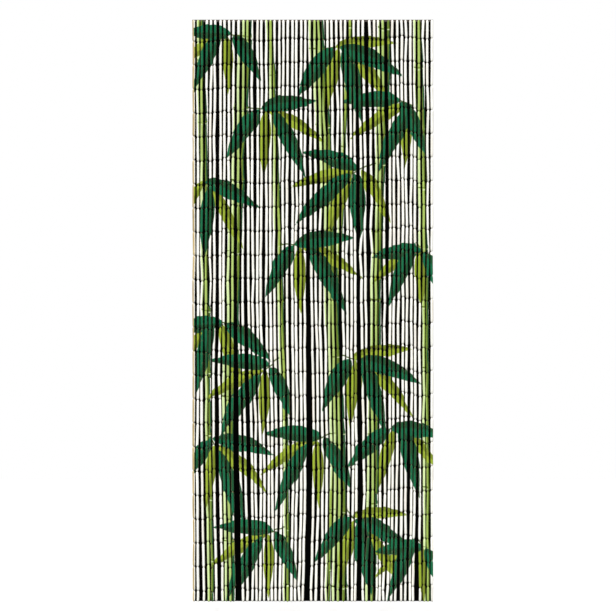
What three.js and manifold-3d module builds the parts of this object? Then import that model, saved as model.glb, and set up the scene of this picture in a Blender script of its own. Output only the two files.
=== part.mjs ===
// A door curtain of bamboo strands: 54 strands of linked tubes hang from one slim heading strip.
// Millimetres, +Z up, the painted front faces -Y. The origin is the middle of the heading's top face.
// Each strand is one slim four-sided body that bends a little at its links, and its root is fused to
// the front of the heading, which lies behind it.

import * as THREE from 'three';
import { mergeVertices } from 'three/addons/utils/BufferGeometryUtils.js';
import Module from 'manifold-3d';

const wasm = await Module();
wasm.setup();

// Whole curtain
const curtainWidth = 910;
const curtainDrop = 2200;
const strandCount = 54;

// Heading strip: it lies behind the strands' roots, which reach a little way into its front
const headingHeight = 8;
const headingDepth = 5;
const rootIntoHeading = 0.8;
const rootBelowTop = 2;

// One strand: its tubes are about 10 mm across, and it bends at every second wire link
const strandSide = 10;
const topTubeLength = 75;
const linkPitch = 90;
const linksPerBend = 2;
const strandPlaneY = rootIntoHeading - (headingDepth + strandSide) / 2;

// Small unevenness of the strands: sideways at the root, sideways lower down, and in depth
const rootUneven = 1.1;
const sideSway = 1.0;
const depthSway = 1.4;
const sideSwayWaves = 1.3;
const depthSwayWaves = 0.8;
const depthSwayFullAt = 300;

// Turns of a sine from one strand to the next, chosen so that no two neighbours move alike
const rootPhase = 2.39;
const sidePhase = 4.71;
const depthPhase = 1.93;

// Wide gaps between bunched strands. Each row is one gap: the strand it follows, counted from the
// left, and the extra width that it has over an ordinary gap at five heights of the curtain.
const wideGaps = [
  { after: 2, top: 0, quarter: 0, half: 0, threeQuarter: 1, hem: 13 },
  { after: 6, top: 2, quarter: 5, half: 5, threeQuarter: 5, hem: 9 },
  { after: 10, top: 4, quarter: 5, half: 9, threeQuarter: 17, hem: 21 },
  { after: 12, top: 0, quarter: 5, half: 7, threeQuarter: 12, hem: 5 },
  { after: 14, top: 4, quarter: 4, half: 0, threeQuarter: 0, hem: 0 },
  { after: 16, top: 0, quarter: 0, half: 4, threeQuarter: 0, hem: 0 },
  { after: 22, top: 0, quarter: 4, half: 4, threeQuarter: 0, hem: 0 },
  { after: 26, top: 0, quarter: 6, half: 12, threeQuarter: 17, hem: 18 },
  { after: 28, top: 0, quarter: 6, half: 2, threeQuarter: 2, hem: 10 },
  { after: 33, top: 2, quarter: 2, half: 7, threeQuarter: 4, hem: 10 },
  { after: 37, top: 0, quarter: 6, half: 6, threeQuarter: 12, hem: 13 },
  { after: 39, top: 9, quarter: 9, half: 8, threeQuarter: 2, hem: 6 },
  { after: 43, top: 5, quarter: 5, half: 6, threeQuarter: 0, hem: 0 },
  { after: 46, top: 0, quarter: 0, half: 3, threeQuarter: 1, hem: 9 },
  { after: 48, top: 0, quarter: 0, half: 0, threeQuarter: 6, hem: 0 },
  { after: 50, top: 0, quarter: 0, half: 0, threeQuarter: 0, hem: 13 },
];
const gapHeights = ['top', 'quarter', 'half', 'threeQuarter', 'hem'];

// A gap's extra width as a smooth curve over the drop, from 0 at the top to 1 at the hem
function gapCurve(gap) {
  const points = gapHeights.map((height, i) => new THREE.Vector2(i, gap[height]));
  return new THREE.SplineCurve(points);
}

const gapCurves = wideGaps.map((gap) => ({ after: gap.after, curve: gapCurve(gap) }));

// Middle of a strand at a depth below the top edge. The wide gaps take their extra width first, the
// ordinary gaps share what is left of the constant width, and a small sway is added.
function strandMiddle(strand, below) {
  const drop = below / curtainDrop;
  const span = curtainWidth - strandSide;
  const extras = gapCurves.map((gap) => ({ after: gap.after, width: gap.curve.getPoint(drop).y }));
  const allExtra = extras.reduce((sum, gap) => sum + gap.width, 0);
  const extraBefore = extras
    .filter((gap) => gap.after <= strand)
    .reduce((sum, gap) => sum + gap.width, 0);
  const pitch = (span - allExtra) / (strandCount - 1);

  const root = rootUneven * Math.sin(rootPhase * strand);
  const side = sideSway * drop * Math.sin(sidePhase * strand + 2 * Math.PI * sideSwayWaves * drop);
  const hanging = Math.min(below / depthSwayFullAt, 1);
  const depth = Math.sin(depthPhase * strand + 2 * Math.PI * depthSwayWaves * drop);

  const x = -span / 2 + strand * pitch + extraBefore + root + side;
  return new THREE.Vector2(
    THREE.MathUtils.clamp(x, -span / 2, span / 2),
    strandPlaneY + depthSway * hanging * depth,
  );
}

// Depths of a strand's rings: its root, every second link, and its foot
function ringDepths() {
  const depths = [rootBelowTop];
  const bendPitch = linkPitch * linksPerBend;
  for (let below = topTubeLength; below < curtainDrop - linkPitch; below += bendPitch) {
    depths.push(below);
  }
  depths.push(curtainDrop);
  return depths;
}

// A strand is a tall box with a row of edges at each ring, and each row is shifted to its middle
function strandGeometry(strand, depths) {
  const stretches = depths.length - 1;
  const geometry = new THREE.BoxGeometry(strandSide, strandSide, stretches, 1, 1, stretches);
  const position = geometry.attributes.position;
  for (let i = 0; i < position.count; i += 1) {
    const ring = Math.round(stretches / 2 - position.getZ(i));
    const below = depths[ring];
    const middle = strandMiddle(strand, below);
    position.setXYZ(i, position.getX(i) + middle.x, position.getY(i) + middle.y, -below);
  }
  return geometry;
}

function headingGeometry() {
  const geometry = new THREE.BoxGeometry(curtainWidth, headingDepth, headingHeight);
  geometry.translate(0, 0, -headingHeight / 2);
  return geometry;
}

function solidFrom(geometry) {
  const bare = geometry.clone();
  bare.deleteAttribute('normal');
  bare.deleteAttribute('uv');
  const merged = mergeVertices(bare);
  return new wasm.Manifold(new wasm.Mesh({
    numProp: 3,
    vertProperties: new Float32Array(merged.attributes.position.array),
    triVerts: new Uint32Array(merged.index.array),
  }));
}

function geometryFrom(solid) {
  const mesh = solid.getMesh();
  const geometry = new THREE.BufferGeometry();
  geometry.setAttribute('position', new THREE.BufferAttribute(mesh.vertProperties, 3));
  geometry.setIndex(new THREE.BufferAttribute(mesh.triVerts, 1));
  geometry.computeVertexNormals();
  return geometry;
}

// Heading and strands joined into one body
function buildStrandCurtain() {
  const depths = ringDepths();
  let solid = solidFrom(headingGeometry());
  for (let strand = 0; strand < strandCount; strand += 1) {
    solid = solid.add(solidFrom(strandGeometry(strand, depths)));
  }
  const material = new THREE.MeshStandardMaterial({
    color: 0xdcd8c4,
    roughness: 0.7,
    metalness: 0,
    flatShading: true,
  });
  const mesh = new THREE.Mesh(geometryFrom(solid), material);
  mesh.name = 'strand_curtain';
  return mesh;
}

const curtain = new THREE.Group();
curtain.name = 'bamboo_door_curtain';
curtain.add(buildStrandCurtain());

export default curtain;
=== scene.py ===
"""Bamboo door curtain: strands of hollow bamboo tubes, linked by wire eyes, on a slim wooden heading.

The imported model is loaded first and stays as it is. Its plain strands are replaced by single tubes,
each with its bore, rounded ends, own girth and roll, hanging in the same places. The fronts of the
tubes are painted with a design of canes and hanging leaves that runs across all strands.
Lengths are metres, +Z is up and the painted front faces -Y, unless a name or table says otherwise.
"""

import math
from collections import namedtuple

import bpy
import numpy as np
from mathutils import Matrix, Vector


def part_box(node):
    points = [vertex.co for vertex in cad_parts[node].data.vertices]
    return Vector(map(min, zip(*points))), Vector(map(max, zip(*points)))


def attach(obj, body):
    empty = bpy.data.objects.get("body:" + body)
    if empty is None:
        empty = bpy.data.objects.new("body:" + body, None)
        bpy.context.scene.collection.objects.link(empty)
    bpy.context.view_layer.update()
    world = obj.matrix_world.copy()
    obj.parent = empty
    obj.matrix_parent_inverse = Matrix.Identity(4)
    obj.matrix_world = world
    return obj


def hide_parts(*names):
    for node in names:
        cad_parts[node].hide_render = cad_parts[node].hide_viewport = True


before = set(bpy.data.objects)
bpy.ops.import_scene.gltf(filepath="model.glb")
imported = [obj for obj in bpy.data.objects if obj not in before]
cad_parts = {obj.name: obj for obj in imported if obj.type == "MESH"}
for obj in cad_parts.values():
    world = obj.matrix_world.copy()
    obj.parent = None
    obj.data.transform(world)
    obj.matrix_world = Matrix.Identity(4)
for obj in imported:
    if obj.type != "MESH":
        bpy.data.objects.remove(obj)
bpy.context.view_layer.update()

bl_info = {
    "name": "Bamboo Door Curtain",
    "version": (1, 0, 0),
    "blender": (4, 5, 0),
    "location": "View3D > Sidebar > Door Curtain",
    "description": "Builds a painted door curtain of linked bamboo tubes on its packed strands",
    "category": "Object",
}

MM = 0.001
CURTAIN_NODE = "strand_curtain"
BODY = "root"

node_low, node_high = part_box(CURTAIN_NODE)

# How the strands hang, the same as in the part's source. Each row is one wide gap between bunched
# strands: the strand it follows, counted from the left, and its extra width in millimetres over an
# ordinary gap at five heights of the curtain.
WideGap = namedtuple("WideGap", "after top quarter half three_quarter hem")
WIDE_GAPS = (
    WideGap(2, 0, 0, 0, 1, 13),
    WideGap(6, 2, 5, 5, 5, 9),
    WideGap(10, 4, 5, 9, 17, 21),
    WideGap(12, 0, 5, 7, 12, 5),
    WideGap(14, 4, 4, 0, 0, 0),
    WideGap(16, 0, 0, 4, 0, 0),
    WideGap(22, 0, 4, 4, 0, 0),
    WideGap(26, 0, 6, 12, 17, 18),
    WideGap(28, 0, 6, 2, 2, 10),
    WideGap(33, 2, 2, 7, 4, 10),
    WideGap(37, 0, 6, 6, 12, 13),
    WideGap(39, 9, 9, 8, 2, 6),
    WideGap(43, 5, 5, 6, 0, 0),
    WideGap(46, 0, 0, 3, 1, 9),
    WideGap(48, 0, 0, 0, 6, 0),
    WideGap(50, 0, 0, 0, 0, 13),
)
STRAND_SIDE = 10 * MM
STRAND_PLANE_Y = -6.7 * MM
ROOT_UNEVEN, SIDE_SWAY, DEPTH_SWAY = 1.1 * MM, 1.0 * MM, 1.4 * MM
SIDE_SWAY_WAVES, DEPTH_SWAY_WAVES = 1.3, 0.8
DEPTH_SWAY_FULL_AT = 300 * MM
ROOT_PHASE, SIDE_PHASE, DEPTH_PHASE = 2.39, 4.71, 1.93

# The painted design, in millimetres from the curtain's middle and below its top edge. A cane runs from
# head to foot with a sideways bow, has a ring at each node, and turns from light green to olive with
# its age. Each row covers the rows before it.
Cane = namedtuple("Cane", "head foot bow width first_node node_step age")
CANES = (
    Cane(146, 50, -12, 20, 250, 228, 0.9),
    Cane(-166, -98, 14, 26, 205, 214, 0.75),
    Cane(-428, -392, 12, 32, 150, 236, 0.35),
    Cane(-250, -322, -16, 50, 60, 272, 0.0),
    Cane(14, 100, 14, 54, 110, 290, 0.15),
    Cane(270, 206, -12, 44, 30, 256, 0.1),
    Cane(394, 430, 8, 34, 180, 226, 0.5),
)

# A spray is a fan of leaves along the end of a twig, which grows from a cane's ring: the cane's number,
# the ring's number, and the way from the ring to the twig's tip. Its lean and fan are degrees from
# straight down, to the right, and deep_first says which colour its first leaf has.
Spray = namedtuple("Spray", "cane ring across below lean fan leaves length width deep_first")
SPRAYS = (
    Spray(4, 0, -93, -10, -32, 138, 5, 262, 58, True),
    Spray(5, 0, 110, -8, 30, 150, 6, 300, 66, True),
    Spray(4, 1, 112, 10, 34, 146, 5, 290, 62, True),
    Spray(6, 1, 112, 40, -34, 130, 5, 284, 62, True),
    Spray(3, 2, 34, 20, 14, 118, 4, 290, 60, False),
    Spray(6, 2, -108, 46, -42, 150, 6, 300, 64, True),
    Spray(2, 3, 104, 6, 36, 142, 5, 296, 64, True),
    Spray(7, 3, -30, -20, -30, 128, 5, 270, 60, True),
    Spray(4, 4, -70, -20, -16, 150, 5, 290, 62, True),
    Spray(5, 4, 110, 20, 36, 146, 6, 304, 66, True),
    Spray(2, 5, -90, 60, -38, 134, 5, 280, 60, True),
    Spray(6, 6, 110, -40, 18, 150, 5, 288, 62, True),
    Spray(5, 5, -100, 40, -34, 140, 5, 292, 62, True),
    Spray(3, 6, 40, 60, 20, 130, 5, 290, 62, True),
    Spray(5, 6, 76, 60, 28, 148, 6, 290, 64, True),
    Spray(2, 8, -100, 30, -34, 140, 5, 280, 60, True),
    Spray(7, 8, -40, -30, -30, 130, 5, 260, 58, True),
)

# Form of the painted canes and leaves. A cane swells at a ring by a share, within some millimetres of
# it, its rings sag, and a bright band lies below each. A twig starts a little inside its cane's edge.
# A leaf's stalk and stagger are millimetres, and its other values are shares and powers. The last two
# values are millimetres: a distance far outside every shape, and the height of the design.
NODE_FLARE, NODE_REACH = 0.12, 8
RING_SAG, BAND_BELOW = 4, 7
TWIG_INTO_CANE = 2
LEAF_STALK, LEAF_DROOP, LEAF_SHORTER, LEAF_STAGGER = 4, 0.2, 0.24, 46
LEAF_BASE_POWER, LEAF_TIP_POWER, LEAF_RIB_END = 0.7, 1.15, 1.2
LIME_SLIMNESS = 0.76
FAR_OUTSIDE = -400.0
DESIGN_DROP = -node_low.z / MM

# Where the curtain stands in the photo: its height and middle in the square frame's pixels
PHOTO_SIDE = 616
PHOTO_DROP = 582.5
PHOTO_MIDDLE = (312.75, 310.75)


def srgb(red, green, blue):
    """An 8-bit screen colour as the linear colour that shaders use."""
    values = [channel / 255 for channel in (red, green, blue)]
    linear = [v / 12.92 if v <= 0.04045 else ((v + 0.055) / 1.055) ** 2.4 for v in values]
    return (*linear, 1.0)


def length(name, description, default):
    """A length setting in metres that shows in the scene's own unit."""
    return bpy.props.FloatProperty(
        name=name, description=description, default=default, min=0.0, unit="LENGTH", precision=4
    )


def whole(name, description, default, least):
    """A whole number setting."""
    return bpy.props.IntProperty(name=name, description=description, default=default, min=least)


def degrees(name, description, default):
    """An angle setting whose default is given in degrees."""
    return bpy.props.FloatProperty(
        name=name, description=description, default=math.radians(default), subtype="ANGLE"
    )


def strength(name, description, default):
    """A light's strength."""
    return bpy.props.FloatProperty(name=name, description=description, default=default, min=0.0)


def colour(name, description, red, green, blue):
    """A colour setting whose default is given as an 8-bit screen colour."""
    return bpy.props.FloatVectorProperty(
        name=name, description=description, default=srgb(red, green, blue), size=4,
        min=0.0, max=1.0, subtype="COLOR",
    )


class CurtainSizes(bpy.types.PropertyGroup):
    """Sizes of the tubes, their links and the heading."""

    width: length("Width", "Width of the whole curtain", node_high.x - node_low.x)
    drop: length("Drop", "From the heading's top edge to the strands' feet", -node_low.z)
    strands: whole("Strands", "How many strands hang side by side", 54, 2)
    strands_in_set: whole("Strands in a set", "Neighbouring strands joined in one mesh", 3, 1)
    girth: length("Tube thickness", "Diameter of a usual tube", 9.7 * MM)
    most_girth: length("Most thickness", "Diameter that no tube passes", 10.4 * MM)
    wall: length("Tube wall", "From a tube's skin to its bore", 2.4 * MM)
    root: length("Root", "From the top edge to the top tubes", 2 * MM)
    top_tube: length("Top tube", "From the top edge to the first link", 75 * MM)
    link_pitch: length("Link pitch", "From one link to the next", 90 * MM)
    link_gap: length("Link gap", "Usual gap between two linked tubes", 0.6 * MM)
    wire: length("Wire thickness", "Diameter of the link wire", 0.9 * MM)
    eye: length("Eye radius", "From the middle of a wire eye to the wire's middle", 1.9 * MM)
    heading_height: length("Heading height", "Height of the heading lath", 8 * MM)
    heading_back: length("Heading back", "From the origin to the lath's back face", node_high.y)
    heading_front: length("Heading front", "From the lath's front face back to the origin", 1.2 * MM)


class CurtainColours(bpy.types.PropertyGroup):
    """Colours of the bare bamboo, the paints, the wire and the heading."""

    skin: colour("Bamboo skin", "Bare bamboo at the back and flanks", 198, 178, 128)
    skin_dark: colour("Bamboo streaks", "Darker fibres of the bare bamboo", 146, 118, 72)
    cut: colour("Cut end", "Bare wood of a tube's cut end", 222, 200, 152)
    # The bore colour is painted shade: a dark brown that stands for the shade inside the hollow tube.
    bore: colour("Bore", "Inside of a tube", 70, 48, 28)
    ground: colour("Ground paint", "Off-white paint behind the design", 242, 243, 236)
    ground_shade: colour("Ground streaks", "Where the ground paint is thin", 196, 186, 172)
    cane: colour("Cane", "Light green of the canes", 164, 188, 106)
    cane_light: colour("Cane light", "Lit side of the canes", 197, 216, 156)
    cane_old: colour("Old cane", "Olive of the older canes", 142, 166, 62)
    cane_shade: colour("Cane shade", "Shaded side and rings of the canes", 92, 116, 30)
    twig: colour("Twig", "Twigs that carry the leaves", 70, 92, 26)
    lime: colour("Lime leaf", "Lit half of the yellow-green leaves", 140, 160, 44)
    lime_shade: colour("Lime shade", "Shaded half of the yellow-green leaves", 108, 124, 28)
    deep: colour("Deep leaf", "Lit half of the dark leaves", 0, 94, 58)
    deep_shade: colour("Deep shade", "Shaded half of the dark leaves", 10, 70, 36)
    wire: colour("Wire", "Dull galvanised wire", 120, 116, 108)
    heading: colour("Heading stain", "Dark stain of the heading lath", 38, 30, 24)
    heading_light: colour("Heading grain", "Lighter grain lines of the lath", 66, 50, 36)


class StageSettings(bpy.types.PropertyGroup):
    """Camera, lights, floor and the dark backing behind the strands, which paints shade between them."""

    camera_away: length("Camera distance", "From the strands to the camera", 9.0)
    floor_below: length("Floor", "From the strands' feet down to the floor", 0.045)
    floor_side: length("Floor side", "Side of the square floor", 14.0)
    backing_behind: length("Backing distance", "From the heading's back to the dark backing", 2 * MM)
    backing_inset: length("Backing inset", "From the outer strands' edge in to the backing's edge", 5 * MM)
    backing_top: length("Backing top", "From the top edge down to the backing's upper edge", 1 * MM)
    backing_foot: length("Backing foot", "From the drop's end up to the backing's lower edge", 2 * MM)
    main_light: strength("Main light", "Strength of the main light", 5.15)
    main_height: degrees("Main light height", "Angle of the main light above level", 40)
    main_turn: degrees("Main light turn", "Angle of the main light to the left", 6)
    main_softness: degrees("Main light softness", "Angle that the main light spans", 16)
    back_light: strength("Back light", "Strength of the light behind the curtain", 2.6)
    side_light: strength("Side light", "Strength of the lights at both sides", 1.2)
    room_light: strength("Room light", "Strength of the even light all round", 0.08)


def settings(context):
    """The three groups of settings: sizes, colours and stage."""
    scene = context.scene
    return scene.curtain_sizes, scene.curtain_colours, scene.curtain_stage


def spline_through(values, place):
    """Value at place 0 to 1 of the smooth cubic through evenly spaced values.

    Between two values it is the cubic that leaves and arrives with half the difference of the values
    on either side, and the first and last value stand in for the ones beyond them.
    """
    values = np.asarray(values, float)
    last = len(values) - 1
    reach = np.clip(place, 0, 1) * last
    cell = np.minimum(reach.astype(int), last - 1)
    t = reach - cell
    before, start, end, after = (values[np.clip(cell + step, 0, last)] for step in (-1, 0, 1, 2))
    leave, arrive = (end - before) / 2, (after - start) / 2
    bend = 3 * (end - start) - 2 * leave - arrive
    twist = 2 * (start - end) + leave + arrive
    return start + leave * t + bend * t**2 + twist * t**3


def strand_middle(sizes, strand, below):
    """Across and depth place of each strand's middle at a distance below the top edge.

    The wide gaps take their extra width first, the ordinary gaps share what is left of the curtain's
    constant width, and sines of the strand's number and of the height add a small sway.
    """
    drop = below / sizes.drop
    span = sizes.width - STRAND_SIDE
    all_extra, extra_before = np.zeros_like(drop), np.zeros_like(drop)
    for gap in WIDE_GAPS:
        extra = spline_through(gap[1:], drop) * MM
        all_extra += extra
        extra_before += np.where(strand >= gap.after, extra, 0)
    pitch = (span - all_extra) / (sizes.strands - 1)
    root = ROOT_UNEVEN * np.sin(ROOT_PHASE * strand)
    side = SIDE_SWAY * drop * np.sin(SIDE_PHASE * strand + math.tau * SIDE_SWAY_WAVES * drop)
    depth = np.sin(DEPTH_PHASE * strand + math.tau * DEPTH_SWAY_WAVES * drop)
    hanging = np.minimum(below / DEPTH_SWAY_FULL_AT, 1)
    across = -span / 2 + strand * pitch + extra_before + root + side
    return np.clip(across, -span / 2, span / 2), STRAND_PLANE_Y + DEPTH_SWAY * hanging * depth


LINK_SEED, TUBE_SEED, EYE_SEED = 11, 23, 37

# How unevenly the links lie: a wave and a slant across the curtain, a shift of each strand and an error
# of each tube's length by chance, and the feet above the drop's end. Kinks to the side at the links
# follow a t curve with few degrees of freedom, so a few of them are large, up to a most. A gap between
# two tubes is the usual one times a number from a least to a most. Numbers from a bell curve are kept
# within so many spreads.
BLOCK_SHIFT, BLOCK_WAVES = 3.5 * MM, 4.3
SLANT_SHIFT = 14 * MM
STRAND_SHIFT, LENGTH_SPREAD = 2.0 * MM, 1.1 * MM
FOOT_LEAST, FOOT_SPREAD = 1.4 * MM, 1.6 * MM
KINK_SPREAD, KINK_FREEDOM, KINK_MOST = 0.7 * MM, 3, 4.5 * MM
GAP_LEAST, GAP_MOST = 0.4, 1.6
CHANCE_LIMIT = 2


def by_chance(rng, shape, spread):
    """Numbers from a bell curve round zero, each kept within a few spreads."""
    most = CHANCE_LIMIT * spread
    return rng.normal(0, spread, shape).clip(-most, most)


def link_points(sizes):
    """Middle of every link, and of each strand's root and foot, as (strand, point, xyz).

    Links are an even pitch apart. All links of a strand are shifted by a slope and a slow wave across
    the curtain and by chance, and each tube's length adds a small error that runs on down the strand.
    Below the root each point also moves sideways by chance, as far as its neighbours leave room.
    """
    rng = np.random.default_rng(LINK_SEED)
    links = 1 + int((sizes.drop - sizes.top_tube) / sizes.link_pitch)
    strand = np.arange(sizes.strands)[:, None]
    share = strand / (sizes.strands - 1)
    shift = SLANT_SHIFT * (0.5 - share) + BLOCK_SHIFT * np.sin(math.tau * BLOCK_WAVES * share)
    shift = shift + by_chance(rng, strand.shape, STRAND_SHIFT)
    wander = np.cumsum(rng.normal(0, LENGTH_SPREAD, (sizes.strands, links)), axis=1)
    below = sizes.top_tube + sizes.link_pitch * np.arange(links)[None, :] + shift + wander
    root = np.full(strand.shape, sizes.root)
    foot = sizes.drop - FOOT_LEAST - rng.uniform(0, FOOT_SPREAD, strand.shape)
    below = np.concatenate([root, below, foot], axis=1)
    across, depth = strand_middle(sizes, np.broadcast_to(strand, below.shape), below)
    apart = np.diff(across, axis=0)
    room = (apart - sizes.most_girth).clip(0) / 2
    to_left = np.concatenate([0 * room[:1], room])
    to_right = np.concatenate([room, 0 * room[:1]])
    kink = (KINK_SPREAD * rng.standard_t(KINK_FREEDOM, across.shape)).clip(-KINK_MOST, KINK_MOST)
    kink[:, 0] = 0
    across = across + np.clip(kink, -to_left, to_right)
    return np.stack([across, depth, -below], axis=-1)


def tube_ends(sizes):
    """Middle of each tube's top and bottom end, as two arrays (strand, tube, xyz).

    A tube runs straight from link to link and stops half a link gap short of each, with a gap that
    differs from link to link, but it reaches all the way to the root and to the foot.
    """
    points = link_points(sizes)
    start, end = points[:, :-1], points[:, 1:]
    slope = (end - start) / (start - end)[..., 2:]
    rng = np.random.default_rng(TUBE_SEED)
    gaps = rng.uniform(GAP_LEAST, GAP_MOST, points.shape[:2]) * sizes.link_gap / 2
    gaps[:, 0] = gaps[:, -1] = 0
    return start + slope * gaps[:, :-1, None], end - slope * gaps[:, 1:, None]


# The grid of one tube and its rounded ends: each step from an end has its own inset from the radius.
# Then how far chance changes a tube: its girth, taper, ovalness, bow, roll, knuckle and painted place.
# The outermost strands are rolled further, the left one so far that its bare side shows. The rings at
# a tube's very ends hold a share of skin, where the body holds all of it and the bore none.
TUBE_SIDES, BODY_RINGS, BORE_RINGS = 12, 10, 2
END_STEPS = np.array([0.0, 1.2, 3.2, 6.8]) * MM
END_INSETS = np.array([2.2, 1.6, 0.75, 0.0]) * MM
GIRTH_SPREAD, TAPER_SPREAD, OVAL_SPREAD = 0.045, 0.02, 0.02
BOW_SPREAD = 0.35 * MM
ROLL_SPREAD = math.radians(9)
LEFT_ROLL, RIGHT_ROLL = math.radians(96), math.radians(-20)
KNUCKLE_SHARE, KNUCKLE_RISE = 0.08, 0.45 * MM
PRINT_JITTER = 1.6
END_SKIN = 0.85

Tubes = namedtuple("Tubes", "points front end_gap skin tone across below")


def ring_ways(reach):
    """Way of every ring down its tube: the steps of the rounded head, even rings along the body, the
    steps of the foot, and the bore's rings, first at the foot and then at the head."""
    head = np.broadcast_to(END_STEPS[:-1], (*reach.shape[:2], len(END_STEPS) - 1))
    body = END_STEPS[-1] + (reach - 2 * END_STEPS[-1]) * np.linspace(0, 1, BODY_RINGS)
    return np.concatenate([head, body, reach - head[..., ::-1], reach, 0 * reach], axis=-1)


def ring_radii(sizes, rng, share):
    """Radius of every ring: half the tube's girth, with a straight taper, less the insets at both ends.
    A knuckle lifts one ring of the body and lowers its neighbours. The bore is a wall's way inside."""
    each = (*share.shape[:2], 1)
    outer = share.shape[-1] - BORE_RINGS
    radius = np.minimum(sizes.girth * (1 + by_chance(rng, each, GIRTH_SPREAD)), sizes.most_girth) / 2
    insets = np.concatenate([END_INSETS[:-1], np.zeros(BODY_RINGS), END_INSETS[-2::-1]])
    skin = radius * (1 + by_chance(rng, each, TAPER_SPREAD) * (share[..., :outer] - 0.5)) - insets
    has_knuckle = rng.random(each) < KNUCKLE_SHARE
    knuckle_ring = rng.integers(len(END_STEPS) + 2, outer - len(END_STEPS) - 2, each)
    away = np.abs(np.arange(outer) - knuckle_ring)
    rise = np.where(away == 0, KNUCKLE_RISE, np.where(away == 1, -KNUCKLE_RISE / 4, 0))
    skin = np.minimum(skin + has_knuckle * rise, sizes.most_girth / 2 + KNUCKLE_RISE / 2)
    bore = np.broadcast_to(radius - sizes.wall, (*share.shape[:2], BORE_RINGS))
    return np.concatenate([skin, bore], axis=-1)


def build_tubes(sizes):
    """Every tube as a closed grid of rings and sides, with what the paint needs at each point.

    A ring is a circle of its radius, a little oval, at its place on the line between the tube's ends
    plus half a sine of bow. The outer rings run down and the bore's rings back up, so that the grid
    closes on itself in both directions.
    """
    rng = np.random.default_rng(TUBE_SEED)
    top, bottom = tube_ends(sizes)
    each = (*top.shape[:2], 1)
    reach = (top - bottom)[..., 2:]
    along = ring_ways(reach)
    share = along / reach
    radius = ring_radii(sizes, rng, share)

    angle = math.tau * np.arange(TUBE_SIDES) / TUBE_SIDES
    ovalness = by_chance(rng, each, OVAL_SPREAD)[..., None]
    oval_turn = rng.uniform(0, math.tau, each)[..., None]
    reach_out = radius[..., None] * (1 + ovalness * np.cos(2 * angle + oval_turn))
    bow = np.sin(math.pi * share) * by_chance(rng, each, BOW_SPREAD)
    bow_angle = rng.uniform(0, math.tau, each)
    middle = top[..., None, :] + (bottom - top)[..., None, :] * share[..., None]
    middle[..., 0] += bow * np.cos(bow_angle)
    middle[..., 1] += bow * np.sin(bow_angle)
    points = np.empty((*reach_out.shape, 3))
    points[..., 0] = middle[..., None, 0] + reach_out * np.sin(angle)
    points[..., 1] = middle[..., None, 1] - reach_out * np.cos(angle)
    points[..., 2] = middle[..., None, 2]

    roll = by_chance(rng, each, ROLL_SPREAD)[..., None]
    roll[0] += LEFT_ROLL
    roll[-1] += RIGHT_ROLL
    skin = np.ones(along.shape)
    skin[..., 0] = skin[..., -BORE_RINGS - 1] = END_SKIN
    skin[..., -BORE_RINGS:] = 0

    def spread(values):
        return np.broadcast_to(values[..., None], reach_out.shape)

    # The strands are painted as they lie evenly side by side, so the design follows a strand's number
    slot = (np.arange(sizes.strands) / (sizes.strands - 1) - 0.5) * (sizes.width - STRAND_SIDE) / MM
    across = slot[:, None, None, None] + reach_out * np.sin(angle - roll) / MM
    across = across + by_chance(rng, each, PRINT_JITTER)[..., None]
    below = spread(-middle[..., 2] / MM + by_chance(rng, each, PRINT_JITTER))
    tone = spread(np.broadcast_to(rng.random(each), along.shape))
    front = np.broadcast_to(np.cos(angle - roll), reach_out.shape)
    end_gap = spread(np.minimum(along, reach - along) / MM)
    return Tubes(points, front, end_gap, spread(skin), tone, across, below)


def cane_middle(cane, below):
    """Across place of a cane's middle: a straight line from head to foot, and half a sine of bow."""
    drop = below / DESIGN_DROP
    return cane.head + (cane.foot - cane.head) * drop + cane.bow * np.sin(math.pi * drop)


def ring_distance(cane, below):
    """How far each height is from the cane's nearest ring, above or below it."""
    return np.abs((below - cane.first_node + cane.node_step / 2) % cane.node_step - cane.node_step / 2)


def blank_fields(shape, *starts):
    """One array of the same shape for each start value."""
    return [np.full(shape, start) for start in starts]


def nearest_of(kept, found, nearer):
    """The kept arrays, with the found ones in their place wherever nearer is true."""
    return [np.where(nearer, new, old) for old, new in zip(kept, found)]


def cane_fields(across, below):
    """How far each point lies inside a cane, its place across the cane from -1 to 1, how far it is from
    the nearest ring and from the bright band below that ring, and the cane's age.

    A cane's half width swells at each ring, and the ring sags by the square of the way from its side.
    """
    kept = blank_fields(across.shape, FAR_OUTSIDE, 0.0, -FAR_OUTSIDE, -FAR_OUTSIDE, 0.0)
    for cane in CANES:
        off = across - cane_middle(cane, below)
        half = cane.width / 2 * (1 + NODE_FLARE * np.exp(-((ring_distance(cane, below) / NODE_REACH) ** 2)))
        level = below - RING_SAG * (1 - (off / half) ** 2)
        ring, band = ring_distance(cane, level), ring_distance(cane, level - BAND_BELOW)
        field = half - np.abs(off)
        nearer = (field > 0) | (field > kept[0])
        kept = nearest_of(kept, (field, off / half, ring, band, cane.age), nearer)
    return dict(zip(("cane", "cane_side", "cane_ring", "cane_band", "cane_age"), kept))


def fan_place(spray):
    """Place of the ring that a spray grows from, and of its fan: across and below."""
    cane = CANES[spray.cane - 1]
    below = cane.first_node + spray.ring * cane.node_step
    across = cane_middle(cane, below)
    edge = math.copysign(cane.width / 2 - TWIG_INTO_CANE, spray.across)
    return (across + edge, below), (across + spray.across, below + spray.below)


def twig_fields(across, below):
    """Offset of each point from the nearest twig's line, and how far it lies between the twig's ends."""
    kept = blank_fields(across.shape, -FAR_OUTSIDE, -FAR_OUTSIDE, FAR_OUTSIDE)
    for spray in SPRAYS:
        start, end = fan_place(spray)
        reach = math.dist(start, end)
        run_across, run_below = (end[0] - start[0]) / reach, (end[1] - start[1]) / reach
        along = (across - start[0]) * run_across + (below - start[1]) * run_below
        off = (across - start[0]) * run_below - (below - start[1]) * run_across
        past = np.maximum(-along, along - reach)
        away = np.hypot(off, past.clip(0))
        kept = nearest_of(kept, (away, off, -past), away < kept[0])
    return {"twig_offset": kept[1], "twig_between": kept[2]}


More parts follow.
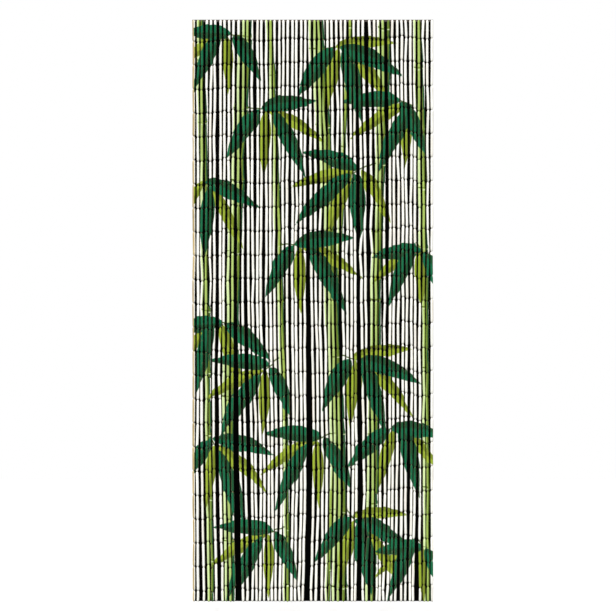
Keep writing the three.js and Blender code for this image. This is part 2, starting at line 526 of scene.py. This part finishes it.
def leaf_field(across, below, spray, share, width):
    """How far each point lies inside one leaf, and its place across the leaf from -1 to 1.

    The outer leaves of a fan are shorter and grow from further back on the twig. The midrib leaves the
    twig at an angle and bends down with the square of the way along it. The half width grows with a
    power of that way and shrinks with a power of what is left of it.
    """
    angle = math.radians(spray.lean + spray.fan * (share - 0.5))
    outer = abs(2 * share - 1)
    reach = spray.length * (1 - LEAF_SHORTER * outer)
    ring, tip = fan_place(spray)
    back = LEAF_STAGGER * outer / math.dist(ring, tip)
    right = across - tip[0] + (tip[0] - ring[0]) * back
    down = below - tip[1] + (tip[1] - ring[1]) * back
    along = (right * math.sin(angle) + down * math.cos(angle) - LEAF_STALK) / reach
    rib = -LEAF_DROOP * math.sin(angle) * reach * along.clip(0, LEAF_RIB_END) ** 2
    off = right * math.cos(angle) - down * math.sin(angle) - rib
    way = along.clip(0, 1)
    widest = LEAF_BASE_POWER / (LEAF_BASE_POWER + LEAF_TIP_POWER)
    most = widest**LEAF_BASE_POWER * (1 - widest) ** LEAF_TIP_POWER
    half = width / 2 * way**LEAF_BASE_POWER * (1 - way) ** LEAF_TIP_POWER / most
    past = np.abs(along - way) * reach
    return half - np.hypot(off, past), off / np.maximum(half, 1)


def leaf_fields(across, below, paint):
    """How far each point lies inside the nearest leaf of one paint, lime or deep, and its place across
    that leaf, where 1 is the leaf's edge."""
    kept = blank_fields(across.shape, FAR_OUTSIDE, 0.0)
    for spray in SPRAYS:
        for leaf in range(spray.leaves):
            is_deep = (leaf % 2 == 0) == spray.deep_first
            if is_deep != (paint == "deep"):
                continue
            width = spray.width * (1 if is_deep else LIME_SLIMNESS)
            found = leaf_field(across, below, spray, leaf / (spray.leaves - 1), width)
            kept = nearest_of(kept, found, found[0] > kept[0])
    return {paint: kept[0], f"{paint}_side": kept[1].clip(-2, 2)}


def grid_faces(rings, sides):
    """Corners of the faces of a grid that closes on itself in both directions, as (face, 4) rows of
    ring and side numbers, where the last ring and side count on past the end."""
    ring, side = np.meshgrid(np.arange(rings), np.arange(sides), indexing="ij")
    corner_ring = np.stack([ring, ring + 1, ring + 1, ring], axis=-1).reshape(-1, 4)
    corner_side = np.stack([side, side, side + 1, side + 1], axis=-1).reshape(-1, 4)
    return corner_ring, corner_side


# The paint map's columns of cells, and as shares of a cell its bare margin, a tube's skin and a rim
MAP_COLUMNS = 5
CELL_MARGIN = 0.012
SKIN_ON_MAP, RIM_ON_MAP = 0.88, 0.03


def tube_map(rings, corner_ring, corner_side, tubes):
    """Place on the paint map of every face corner: one cell for each tube, with its rings along the
    cell and its sides up it. The skin takes most of a cell, the rims and the bore thin bands."""
    skin = np.linspace(0, SKIN_ON_MAP, rings - BORE_RINGS)
    place_along = np.concatenate([skin, [SKIN_ON_MAP + RIM_ON_MAP, 1 - RIM_ON_MAP, 1.0]])
    place_up = np.arange(TUBE_SIDES + 1) / TUBE_SIDES
    cell = np.arange(tubes)
    corner = np.stack([cell % MAP_COLUMNS, cell // MAP_COLUMNS], axis=-1)[:, None, None, :]
    inside = np.stack([place_along[corner_ring], place_up[corner_side]], axis=-1)
    inset = CELL_MARGIN + (1 - 2 * CELL_MARGIN) * inside
    return (corner + inset) / np.array([MAP_COLUMNS, math.ceil(tubes / MAP_COLUMNS)])


def new_piece(name, points, face_sets, material, sharp=50):
    """A mesh object from its points and sets of faces, placed on the curtain's body in the given finish,
    with its edges sharp from an angle in degrees."""
    faces = [face for face_set in face_sets for face in face_set.tolist()]
    mesh = bpy.data.meshes.new(name)
    mesh.from_pydata(points.reshape(-1, 3), [], faces)
    mesh.polygons.foreach_set("use_smooth", np.ones(len(mesh.polygons), bool))
    mesh.set_sharp_from_angle(angle=math.radians(sharp))
    mesh.materials.append(material)
    piece = bpy.data.objects.new(name, mesh)
    bpy.context.scene.collection.objects.link(piece)
    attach(piece, BODY)
    return piece


def swept_faces(steps, sides):
    """Faces of a tube of rings that is open at its ends, then one face that closes each end."""
    ring, side = np.meshgrid(np.arange(steps - 1), np.arange(sides), indexing="ij")
    beside = (side + 1) % sides
    walls = np.stack(
        [ring * sides + side, (ring + 1) * sides + side, (ring + 1) * sides + beside, ring * sides + beside],
        axis=-1,
    ).reshape(-1, 4)
    first = np.arange(sides)
    last = (steps - 1) * sides + first[::-1]
    return walls, np.stack([first, last])


# A wire's sides, the steps of an eye's circle and its share of a full turn, and how many eye radii a
# stem's first point lies from the eye before it is drawn on to the tube's middle. A hook's level top
# lies between two shares of its way to the lath. A foot's bend starts at a share of its way out, and
# lies below the tube by a share of the wire's thickness.
WIRE_SIDES = 4
EYE_STEPS, EYE_TURN = 8, 0.94
STEM_REACH = 6
HOOK_UP, HOOK_OVER = 0.25, 0.8
BEND_START, BEND_BELOW = 0.1, 0.8


def swept_wire(path, plane, thickness):
    """Rings of a wire along a path in a plane: each point moves out by the wire's radius, by a sine
    along the plane's normal and by a cosine square to the path within the plane."""
    path, plane = np.asarray(path, float), np.asarray(plane, float)
    run = np.gradient(path, axis=0)
    run /= np.linalg.norm(run, axis=1, keepdims=True)
    beside = np.cross(run, plane)
    angle = math.tau * (np.arange(WIRE_SIDES) + 0.5) / WIRE_SIDES
    outward = np.sin(angle)[:, None] * plane + np.cos(angle)[:, None] * beside[:, None, :]
    return path[:, None, :] + thickness / 2 * outward


def eye_wire(sizes):
    """One wire eye below its stem: the stem comes down on the tube's axis and opens into a circle that
    turns almost once round the eye's middle, the origin."""
    turn = math.pi / 2 + math.tau * np.arange(EYE_STEPS + 1) / EYE_STEPS * EYE_TURN
    circle = sizes.eye * np.stack([np.cos(turn), 0 * turn, np.sin(turn)], axis=-1)
    stem = [[0, 0, STEM_REACH * sizes.eye], [0, 0, 2 * sizes.eye]]
    return swept_wire([*stem, *circle], (0, 1, 0), sizes.wire)


def root_wire(sizes):
    """The hook of a top tube, from the strand's root: up out of the bore, over the tube's back edge and
    down into the lath, whose front face is behind the tube."""
    over, lath = sizes.root / 2, -STRAND_PLANE_Y - sizes.heading_front
    path = [
        [0, 0, -STEM_REACH * sizes.eye], [0, 0, -sizes.wire],
        [0, HOOK_UP * lath, over], [0, HOOK_OVER * lath, over],
        [0, lath, -sizes.wire], [0, lath + sizes.wire, -2 * sizes.wire],
    ]
    return swept_wire(path, (1, 0, 0), sizes.wire)


def foot_wire(sizes):
    """The bend below a bottom tube that keeps it on its wire, from the strand's foot."""
    side, low = sizes.girth / 2 - sizes.wire, -BEND_BELOW * sizes.wire
    stem = [[0, 0, STEM_REACH * sizes.eye], [0, 0, sizes.wire]]
    bend = [[BEND_START * side, 0, low], [side, 0, low]]
    return swept_wire([*stem, *bend], (0, 1, 0), sizes.wire)


def placed_wires(shape, turn, places, ends):
    """Copies of a wire's rings, each turned about its axis and moved to its place, with its first ring
    drawn on to the tube's middle."""
    wires = turned(shape, turn) + places[:, None, None, :]
    wires[:, 0] += (ends - places)[:, None, :] - shape[0].mean(axis=0)
    return wires


def turned(points, angle):
    """A shape's points turned about +Z by each of a row of angles."""
    cos, sin = np.cos(angle)[:, None, None], np.sin(angle)[:, None, None]
    x, y, z = points[..., 0], points[..., 1], points[..., 2]
    return np.stack([x * cos - y * sin, x * sin + y * cos, np.broadcast_to(z, (x * cos).shape)], axis=-1)


def repeated_faces(faces, count, points):
    """The same faces for each of a count of copies that have so many points each."""
    return (faces[None] + points * np.arange(count)[:, None, None]).reshape(-1, faces.shape[-1])


class Value:
    """A shader number with Python's arithmetic: each operator adds one Math node."""

    def __init__(self, finish, socket):
        self.finish, self.socket = finish, socket

    def math(self, operation, *others, clamp=False):
        sockets = dict(enumerate((self, *others)))
        chosen = {"operation": operation, "use_clamp": clamp}
        return Value(self.finish, self.finish.node("ShaderNodeMath", chosen, sockets).outputs[0])

    def __add__(self, other):
        return self.math("ADD", other)

    def __mul__(self, other):
        return self.math("MULTIPLY", other)

    def __sub__(self, other):
        return self.math("SUBTRACT", other)

    def __truediv__(self, other):
        return self.math("DIVIDE", other)

    def __rsub__(self, other):
        return (self * -1) + other

    __radd__ = __add__
    __rmul__ = __mul__

    def clamped(self):
        return self.math("ADD", 0.0, clamp=True)

    def step(self, low, high):
        """0 below low and 1 above high, with a straight ramp between."""
        return ((self - low) / (high - low)).clamped()

    def size(self):
        return self.math("ABSOLUTE")


class Finish:
    """A material's node tree, with one method that adds a node of any type."""

    def __init__(self, name):
        self.material = bpy.data.materials.new(name)
        self.material.use_nodes = True
        self.tree = self.material.node_tree
        self.tree.nodes.clear()

    def node(self, kind, chosen=None, sockets=None):
        """A node of a type, with its settings chosen first and then its sockets' values or links."""
        node = self.tree.nodes.new(kind)
        for name, value in (chosen or {}).items():
            setattr(node, name, value)
        for name, value in (sockets or {}).items():
            value = value.socket if isinstance(value, Value) else value
            if isinstance(value, bpy.types.NodeSocket):
                self.tree.links.new(value, node.inputs[name])
            else:
                node.inputs[name].default_value = value
        return node

    def attribute(self, name):
        return Value(self, self.node("ShaderNodeAttribute", {"attribute_name": name}).outputs["Fac"])

    def mix(self, share, first, second):
        """The first colour, turned into the second by a share."""
        return self.node(
            "ShaderNodeMix", {"data_type": "RGBA"}, {0: share, 6: first, 7: second}
        ).outputs[2]

    def shaded(self, colour, factor):
        """A colour times a number."""
        return self.node(
            "ShaderNodeVectorMath", {"operation": "SCALE"}, {"Vector": colour, "Scale": factor}
        ).outputs["Vector"]

    def noise(self, place, noise):
        """A number from 0 to 1 that one kind of noise gives at each place."""
        mapped = {"Vector": place, "Scale": noise.turns}
        grain = self.node("ShaderNodeMapping", {}, mapped).outputs["Vector"]
        sockets = {"Vector": grain, "Scale": 1.0, "Detail": noise.detail, "Roughness": noise.roughness}
        return Value(self, self.node("ShaderNodeTexNoise", {}, sockets).outputs["Fac"])

    def place(self, shift=None):
        """Place on the object, moved by a number along all axes."""
        spot = self.node("ShaderNodeTexCoord").outputs["Object"]
        if shift is None:
            return spot
        return self.node(
            "ShaderNodeVectorMath", {"operation": "ADD"}, {0: spot, 1: shift.socket}
        ).outputs["Vector"]

    def surface(self, colour, roughness, height, bump, **sockets):
        """Ends the tree in one shader whose bump follows a height, in metres."""
        normal = self.node("ShaderNodeBump", {}, {"Height": height, "Distance": bump}).outputs["Normal"]
        named = {"Base Color": colour, "Roughness": roughness, "Normal": normal}
        named.update({name.replace("_", " "): value for name, value in sockets.items()})
        shader = self.node("ShaderNodeBsdfPrincipled", {}, named).outputs["BSDF"]
        self.node("ShaderNodeOutputMaterial", {}, {"Surface": shader})
        return self.material


# Noises: the turns in a metre along X, Y and Z, the detail and the roughness. A noise with few turns
# along an axis is drawn out along it, as fibres and brush strokes are along a tube.
Noise = namedtuple("Noise", "turns detail roughness", defaults=(2.0, 0.5))
FIBRES = Noise((1100, 1100, 12), 3.0, 0.65)
GROOVES = Noise((620, 620, 5))
BLOTCHES = Noise((90, 90, 22))
BRUSH_STROKES = Noise((420, 420, 30), 3.0, 0.6)
PAINT_EDGES = Noise((260, 260, 190))
CHIPS = Noise((330, 330, 120), 2.0, 0.7)
WIRE_CLOUDS = Noise((600, 600, 600), 3.0, 0.6)
LATH_GRAIN = Noise((16, 900, 900), 4.0, 0.6)
LATH_PORES = Noise((120, 2600, 2600), 2.0, 0.7)
FLOOR_CLOUDS = Noise((6, 6, 6), 3.0)

# How far a tube's tone moves its noises. Then how far noise moves a painted edge, and half the width
# over which it fades, in millimetres.
TONE_SHIFT = 7.0
EDGE_ROUGHNESS, EDGE_SOFTNESS = 2.4, 0.7

# Where one look gives way to the next, as the start and the end of the change. Places across a cane or
# a leaf run from -1 to 1. Ways from a ring, a bright band, a twig's line and a tube's end are
# millimetres. The others are levels of a noise, shares of skin or bore, and for the painted front the
# cosine of the way round the tube.
CANE_LIT, CANE_SHADED, CANE_DARKEST = (-0.45, -0.3), (0.3, 0.44), (0.64, 0.74)
BAND_EDGE, RING_EDGE, TWIG_EDGE = (2.2, 3.2), (2.2, 3.4), (1.9, 3.0)
LEAF_SHADED = (0.02, 0.2)
GROOVE_EDGE, CHIP_EDGE = (0.6, 0.66), (0.63, 0.66)
WORN_END, SOUND_BODY = (-0.9, 0.1), (0, 9)
BORE_TO_CUT, CUT_TO_SKIN, INTO_BORE = (0, 0.02), (0.4, 0.8), (0.3, 0.7)
PAINTED_SKIN, PAINTED_FRONT = (0.65, 0.8), (0.14, 0.24)


def tube_finish(colours):
    """Bamboo with brushed paint on its front: bare fibres, the ground and the design over it.

    Each colour of the design covers where its stored distance, in millimetres, is above zero, and
    noise moves that edge as a brush does. A tube's tone shifts all its noises, so no two are alike.
    """
    made = Finish("painted_bamboo")
    tone = made.attribute("tone")
    place = made.place(tone * TONE_SHIFT)
    fibre, groove = made.noise(place, FIBRES), made.noise(place, GROOVES)
    blotch, brush = made.noise(place, BLOTCHES), made.noise(place, BRUSH_STROKES)
    edge = (made.noise(place, PAINT_EDGES) - 0.5) * EDGE_ROUGHNESS
    chip = made.noise(place, CHIPS)
    front, end_gap, skin = (made.attribute(name) for name in ("front", "end_gap", "skin"))

    def cover(name):
        return (made.attribute(name) + edge).step(-EDGE_SOFTNESS, EDGE_SOFTNESS)

    def with_leaves(paint, name, lit, shade):
        """The paint with one colour of leaves over it, each darker on one side of its midrib."""
        side = made.attribute(f"{name}_side") + edge * 0.06
        return made.mix(cover(name), paint, made.mix(side.step(*LEAF_SHADED), lit, shade))

    # Bare bamboo with darker fibres and blotches, pale at the cut ends, and dark in the bore as painted
    # shade inside the hollow tube
    bare = made.mix((fibre * 1.6 + blotch * 0.8 - 0.75).clamped(), colours.skin, colours.skin_dark)
    bare = made.shaded(bare, tone * 0.3 + 0.82)
    end = made.mix(skin.step(*BORE_TO_CUT), colours.bore, colours.cut)
    wood = made.mix(skin.step(*CUT_TO_SKIN), end, bare)
    # Painted shade: the bore's rings take the dark bore colour.
    wood = made.mix(made.attribute("bore").step(*INTO_BORE), wood, colours.bore)

    # The ground, thin in streaks and all along some tubes
    thin = (brush * 1.5 + fibre * 1.1 - 1.1).clamped()
    paint = made.mix(thin * 0.75, colours.ground, colours.ground_shade)
    paint = made.mix((tone * 3.0 - 2.1).clamped() * 0.45, paint, colours.ground_shade)

    # Canes, from their lit to their shaded side, with a bright band below each ring and dry strokes
    side = made.attribute("cane_side") + edge * 0.05
    body = made.mix(made.attribute("cane_age"), colours.cane, colours.cane_old)
    cane = made.mix(side.step(*CANE_LIT), colours.cane_light, body)
    cane = made.mix(side.step(*CANE_SHADED), cane, colours.cane_shade)
    cane = made.mix(side.step(*CANE_DARKEST), cane, colours.deep_shade)
    band, ring = made.attribute("cane_band") + edge, made.attribute("cane_ring") + edge
    cane = made.mix((1 - band.step(*BAND_EDGE)) * 0.8, cane, colours.cane_light)
    cane = made.mix(1 - ring.step(*RING_EDGE), cane, colours.cane_shade)
    cane = made.mix((brush * 2.4 - 1.35).clamped() * 0.5, cane, colours.cane_shade)
    paint = made.mix(cover("cane"), paint, cane)

    # Twigs, then the leaves over them, and fine grooves and brush strokes in all of the paint. The grooves
    # are sunk by the bump and also darkened in the colour as painted shade.
    twig = (made.attribute("twig_between") + edge).step(0, 1)
    twig = twig * (1 - (made.attribute("twig_offset") + edge * 0.4).size().step(*TWIG_EDGE))
    paint = made.mix(twig, paint, colours.twig)
    paint = with_leaves(paint, "lime", colours.lime, colours.lime_shade)
    paint = with_leaves(paint, "deep", colours.deep, colours.deep_shade)
    # Painted shade: the paint is darker along the sunk grooves, which also lower the bump's height.
    groove_depth_and_shade = groove.step(*GROOVE_EDGE) * 0.22
    paint = made.shaded(paint, tone * 0.1 + brush * 0.2 + fibre * 0.2 - groove_depth_and_shade + 0.76)

    # The paint ends at the flanks, and it is worn near the tubes' ends and chipped here and there
    round_front = (front + (brush - 0.5) * 0.4).step(*PAINTED_FRONT)
    not_worn = (end_gap + (blotch - 0.5) * 5).step(*WORN_END)
    not_chipped = 1 - (chip - end_gap.step(*SOUND_BODY) * 0.1).step(*CHIP_EDGE)
    painted = round_front * not_worn * not_chipped * skin.step(*PAINTED_SKIN)
    colour = made.mix(painted, wood, paint)
    roughness = painted * (0.22 + brush * 0.12) + 0.4 + blotch * 0.1
    height = fibre * 0.5 - groove_depth_and_shade * 1.6 + painted * (brush * 0.5 + 0.3)
    return made.surface(colour, roughness, height, bump=0.12 * MM, Specular_IOR_Level=0.25)


def wire_finish(colours):
    """Dull galvanised wire with a cloudy coat."""
    made = Finish("link_wire")
    cloud = made.noise(made.place(), WIRE_CLOUDS)
    colour = made.shaded(colours.wire[:3], cloud * 0.7 + 0.6)
    return made.surface(colour, cloud * 0.25 + 0.32, cloud, bump=0.03 * MM, Metallic=0.85)


def heading_finish(colours):
    """Dark stained wood with grain lines along the lath."""
    made = Finish("stained_lath")
    place = made.place()
    grain, pores = made.noise(place, LATH_GRAIN), made.noise(place, LATH_PORES)
    share = (grain * 1.8 - 0.5).clamped()
    colour = made.mix(share, colours.heading, colours.heading_light)
    colour = made.shaded(colour, pores * 0.5 + 0.7)
    height = grain * 0.7 + pores * 0.3
    return made.surface(colour, pores * 0.25 + 0.4, height, bump=0.08 * MM)


class CURTAIN_OT_strands(bpy.types.Operator):
    """Build the painted bamboo tubes of all strands, a few strands to a mesh"""

    bl_idname = "curtain.strands"
    bl_label = "Bamboo strands"

    def execute(self, context):
        sizes, colours, _ = settings(context)
        material = tube_finish(colours)
        tubes = build_tubes(sizes)
        rings = tubes.points.shape[2]
        in_bore = np.arange(rings)[:, None] >= rings - BORE_RINGS
        stored = {
            "front": tubes.front, "end_gap": tubes.end_gap, "skin": tubes.skin, "tone": tubes.tone,
            "bore": np.broadcast_to(in_bore, tubes.front.shape),
            **cane_fields(tubes.across, tubes.below),
            **twig_fields(tubes.across, tubes.below),
            **leaf_fields(tubes.across, tubes.below, "lime"),
            **leaf_fields(tubes.across, tubes.below, "deep"),
        }
        corner_ring, corner_side = grid_faces(rings, TUBE_SIDES)
        faces = (corner_ring % rings) * TUBE_SIDES + corner_side % TUBE_SIDES
        for number, first in enumerate(range(0, sizes.strands, sizes.strands_in_set), 1):
            chosen = slice(first, first + sizes.strands_in_set)
            points = tubes.points[chosen]
            count = points.shape[0] * points.shape[1]
            every_face = repeated_faces(faces, count, rings * TUBE_SIDES)
            piece = new_piece(f"strand_set_{number:02d}", points, [every_face], material)
            paint_map = piece.data.uv_layers.new(name="OFBake")
            places = tube_map(rings, corner_ring, corner_side, count)
            paint_map.data.foreach_set("uv", places.ravel())
            for name, values in stored.items():
                layer = piece.data.attributes.new(name, "FLOAT", "POINT")
                layer.data.foreach_set("value", values[chosen].ravel().astype(np.float32))
            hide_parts(CURTAIN_NODE)
        return {"FINISHED"}


LINK_SETS = 3


class CURTAIN_OT_links(bpy.types.Operator):
    """Build every tube's wire with its interlocked eyes, the hooks at the roots and the bends at the feet"""

    bl_idname = "curtain.links"
    bl_label = "Wire links"

    def execute(self, context):
        sizes, colours, _ = settings(context)
        material = wire_finish(colours)
        rng = np.random.default_rng(EYE_SEED)
        points = link_points(sizes)
        middles = (points[:, :-1] + points[:, 1:]) / 2
        lift = np.array([0, 0, sizes.eye - sizes.wire / 2])
        upper = eye_wire(sizes)
        lower = upper * np.array([1, -1, -1])
        strand_sets = np.array_split(np.arange(sizes.strands), LINK_SETS)
        for number, strands in enumerate(strand_sets, 1):
            links = points[strands, 1:-1].reshape(-1, 3)
            above = middles[strands, :-1].reshape(-1, 3)
            below = middles[strands, 1:].reshape(-1, 3)
            turn = rng.uniform(0, math.pi, len(links))
            upper_eyes = placed_wires(upper, turn, links + lift, above)
            lower_eyes = placed_wires(lower, turn + math.pi / 2, links - lift, below)
            self.wires(f"link_eyes_{number}", np.concatenate([upper_eyes, lower_eyes]), material)
        upright = np.zeros(sizes.strands)
        hooks = placed_wires(root_wire(sizes), upright, points[:, 0], middles[:, 0])
        self.wires("root_hooks", hooks, material)
        turn = rng.uniform(0, math.tau, sizes.strands)
        bends = placed_wires(foot_wire(sizes), turn, points[:, -1], middles[:, -1])
        self.wires("foot_bends", bends, material)
        return {"FINISHED"}

    def wires(self, name, wires, material):
        """Many wires of the same number of rings as one mesh. A wire has four sides, so the faces that
        close its ends have four corners, as its walls do."""
        faces = np.concatenate(swept_faces(wires.shape[1], WIRE_SIDES))
        every_face = repeated_faces(faces, len(wires), wires.shape[1] * WIRE_SIDES)
        new_piece(name, wires, [every_face], material, sharp=80)


# The lath's places along its length, its broken edges, and the waves that its plane left on its foot
LATH_STATIONS = 92
LATH_EDGE = 0.7 * MM
LATH_WAVE, LATH_WAVE_RATES = 0.12 * MM, (61, 23)


class CURTAIN_OT_heading(bpy.types.Operator):
    """Build the dark lath behind the strands' tops"""

    bl_idname = "curtain.heading"
    bl_label = "Heading lath"

    def execute(self, context):
        """Carries the lath's outline along its length, its foot raised by the product of two sines."""
        sizes, colours, _ = settings(context)
        front, back, low = -sizes.heading_front, sizes.heading_back, -sizes.heading_height
        edge = LATH_EDGE
        outline = np.array([
            [front, -edge], [front, low + edge], [front + edge, low], [back - edge, low],
            [back, low + edge], [back, -edge], [back - edge, 0], [front + edge, 0],
        ])
        station = np.linspace(-sizes.width / 2, sizes.width / 2, LATH_STATIONS)
        points = np.empty((LATH_STATIONS, len(outline), 3))
        points[..., 0] = station[:, None]
        points[..., 1:] = outline
        fast, slow = LATH_WAVE_RATES
        planed = LATH_WAVE * np.sin(station * fast) * np.sin(station * slow + 1)
        points[:, 1:4, 2] += np.abs(planed)[:, None]
        faces = swept_faces(LATH_STATIONS, len(outline))
        material = heading_finish(colours)
        piece = new_piece("heading_lath", points, faces, material, sharp=30)
        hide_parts(CURTAIN_NODE)
        return {"FINISHED"}


def stage_plane(name, corners, material):
    """A flat stage piece through four corners."""
    mesh = bpy.data.meshes.new(name)
    mesh.from_pydata(corners, [], [(0, 1, 2, 3)])
    mesh.materials.append(material)
    plane = bpy.data.objects.new(name, mesh)
    bpy.context.scene.collection.objects.link(plane)
    return plane


WHITE = (1, 1, 1, 1)
FLOOR_GREY, FLOOR_GLOW = 158, 0.36
BACKING_GREY = 3


def floor_finish():
    """Pale matt floor with a faint unevenness, and a glow that keeps the shadow on it soft."""
    made = Finish("pale_floor")
    cloud = made.noise(made.place(), FLOOR_CLOUDS)
    pale = srgb(FLOOR_GREY, FLOOR_GREY, FLOOR_GREY)
    colour = made.shaded(pale[:3], cloud * 0.02 + 0.99)
    glow = {"Emission_Color": WHITE, "Emission_Strength": FLOOR_GLOW}
    return made.surface(colour, 0.8, cloud, bump=0.2 * MM, **glow)


def backing_finish():
    """Painted shade between the strands: dull black from the front and clear from behind, so that the
    curtain's back can be seen.
    """
    made = Finish("gap_shade_backing")
    dull = srgb(BACKING_GREY, BACKING_GREY, BACKING_GREY)
    gap_shade = made.node("ShaderNodeBsdfDiffuse", {}, {"Color": dull}).outputs["BSDF"]
    clear = made.node("ShaderNodeBsdfTransparent").outputs["BSDF"]
    behind = made.node("ShaderNodeNewGeometry").outputs["Backfacing"]
    shader = made.node("ShaderNodeMixShader", {}, {0: behind, 1: gap_shade, 2: clear}).outputs["Shader"]
    made.node("ShaderNodeOutputMaterial", {}, {"Surface": shader})
    return made.material


class CURTAIN_OT_stage(bpy.types.Operator):
    """Set the camera square to the curtain, with a pale floor, soft light and a dark backing that paints
    shade between the strands
    """

    bl_idname = "curtain.stage"
    bl_label = "Stage"

    def execute(self, context):
        sizes, _, stage = settings(context)
        scene = context.scene
        self.camera(scene, sizes, stage)
        self.surfaces(sizes, stage)
        self.lights(scene, stage)
        scene.view_settings.view_transform = "Standard"
        return {"FINISHED"}

    def camera(self, scene, sizes, stage):
        """A long lens whose frame takes in as much of the curtain's plane as the photo's does."""
        pixel = sizes.drop / PHOTO_DROP
        across = (PHOTO_SIDE / 2 - PHOTO_MIDDLE[0]) * pixel
        up = -sizes.drop / 2 + (PHOTO_MIDDLE[1] - PHOTO_SIDE / 2) * pixel
        lens = bpy.data.cameras.new("camera")
        lens.sensor_width = 36
        lens.lens = lens.sensor_width * stage.camera_away / (PHOTO_SIDE * pixel)
        lens.clip_end = 100
        camera = bpy.data.objects.new("camera", lens)
        camera.location = (across, STRAND_PLANE_Y - stage.camera_away, up)
        camera.rotation_euler = (math.pi / 2, 0, 0)
        scene.collection.objects.link(camera)
        scene.camera = camera

    def surfaces(self, sizes, stage):
        """The floor below the strands' feet and the dark backing close behind the strands, a black sheet
        seen only by the camera that paints the shade between them.
        """
        half, low = stage.floor_side / 2, -sizes.drop - stage.floor_below
        floor = [(-half, -half, low), (half, -half, low), (half, half, low), (-half, half, low)]
        stage_plane("floor", floor, floor_finish()).visible_diffuse = False
        side = sizes.width / 2 - stage.backing_inset
        back = sizes.heading_back + stage.backing_behind
        top, foot = -stage.backing_top, -sizes.drop + stage.backing_foot
        backing = [(-side, back, foot), (side, back, foot), (side, back, top), (-side, back, top)]
        # Painted shade: a black sheet behind the strands, seen only by the camera, darkens the gaps between
        # them.
        plane = stage_plane("gap_shade_backing", backing, backing_finish())
        plane.visible_diffuse = plane.visible_glossy = plane.visible_shadow = False

    def lights(self, scene, stage):
        """Faint even light before a white backdrop, and soft lights from high in front, behind and at
        both sides, where they span twice the angle."""
        world = bpy.data.worlds.new("white_room")
        world.use_nodes = True
        tree = world.node_tree
        room = tree.nodes["Background"]
        room.inputs["Color"].default_value = WHITE
        room.inputs["Strength"].default_value = stage.room_light
        backdrop = tree.nodes.new("ShaderNodeBackground")
        backdrop.inputs["Color"].default_value = WHITE
        seen = tree.nodes.new("ShaderNodeLightPath")
        either = tree.nodes.new("ShaderNodeMixShader")
        tree.links.new(seen.outputs["Is Camera Ray"], either.inputs[0])
        tree.links.new(room.outputs[0], either.inputs[1])
        tree.links.new(backdrop.outputs[0], either.inputs[2])
        tree.links.new(either.outputs[0], tree.nodes["World Output"].inputs["Surface"])
        scene.world = world
        height, soft = stage.main_height, stage.main_softness
        self.sun(scene, "main_light", stage.main_light, soft, height, -stage.main_turn)
        self.sun(scene, "back_light", stage.back_light, soft, height, math.pi)
        self.sun(scene, "left_light", stage.side_light, 2 * soft, height, -math.pi / 2)
        self.sun(scene, "right_light", stage.side_light, 2 * soft, height, math.pi / 2)

    def sun(self, scene, name, strength, softness, height, turn):
        """A soft light from a height above level, turned about the curtain from straight in front."""
        lamp = bpy.data.lights.new(name, "SUN")
        lamp.energy = strength
        lamp.angle = softness
        light = bpy.data.objects.new(name, lamp)
        light.rotation_euler = (math.pi / 2 - height, 0, turn)
        scene.collection.objects.link(light)


class CURTAIN_PT_sidebar(bpy.types.Panel):
    """Lists the curtain's pieces and their settings"""

    bl_idname = "CURTAIN_PT_sidebar"
    bl_label = "Bamboo Door Curtain"
    bl_space_type = "VIEW_3D"
    bl_region_type = "UI"
    bl_category = "Door Curtain"

    def draw(self, context):
        layout = self.layout
        for operator in OPERATORS:
            layout.operator(operator.bl_idname)
        for group in settings(context):
            box = layout.box()
            box.label(text=group.bl_rna.description)
            for name in group.__annotations__:
                box.prop(group, name)


OPERATORS = (CURTAIN_OT_stage, CURTAIN_OT_heading, CURTAIN_OT_strands, CURTAIN_OT_links)
CLASSES = (CurtainSizes, CurtainColours, StageSettings, *OPERATORS, CURTAIN_PT_sidebar)


def register():
    for made in CLASSES:
        bpy.utils.register_class(made)
    bpy.types.Scene.curtain_sizes = bpy.props.PointerProperty(type=CurtainSizes)
    bpy.types.Scene.curtain_colours = bpy.props.PointerProperty(type=CurtainColours)
    bpy.types.Scene.curtain_stage = bpy.props.PointerProperty(type=StageSettings)


def unregister():
    del bpy.types.Scene.curtain_stage
    del bpy.types.Scene.curtain_colours
    del bpy.types.Scene.curtain_sizes
    for made in reversed(CLASSES):
        bpy.utils.unregister_class(made)


def main():
    """Builds the stage and every piece."""
    register()
    bpy.ops.curtain.stage()
    bpy.ops.curtain.heading()
    bpy.ops.curtain.strands()
    bpy.ops.curtain.links()


if __name__ == "__main__":
    main()
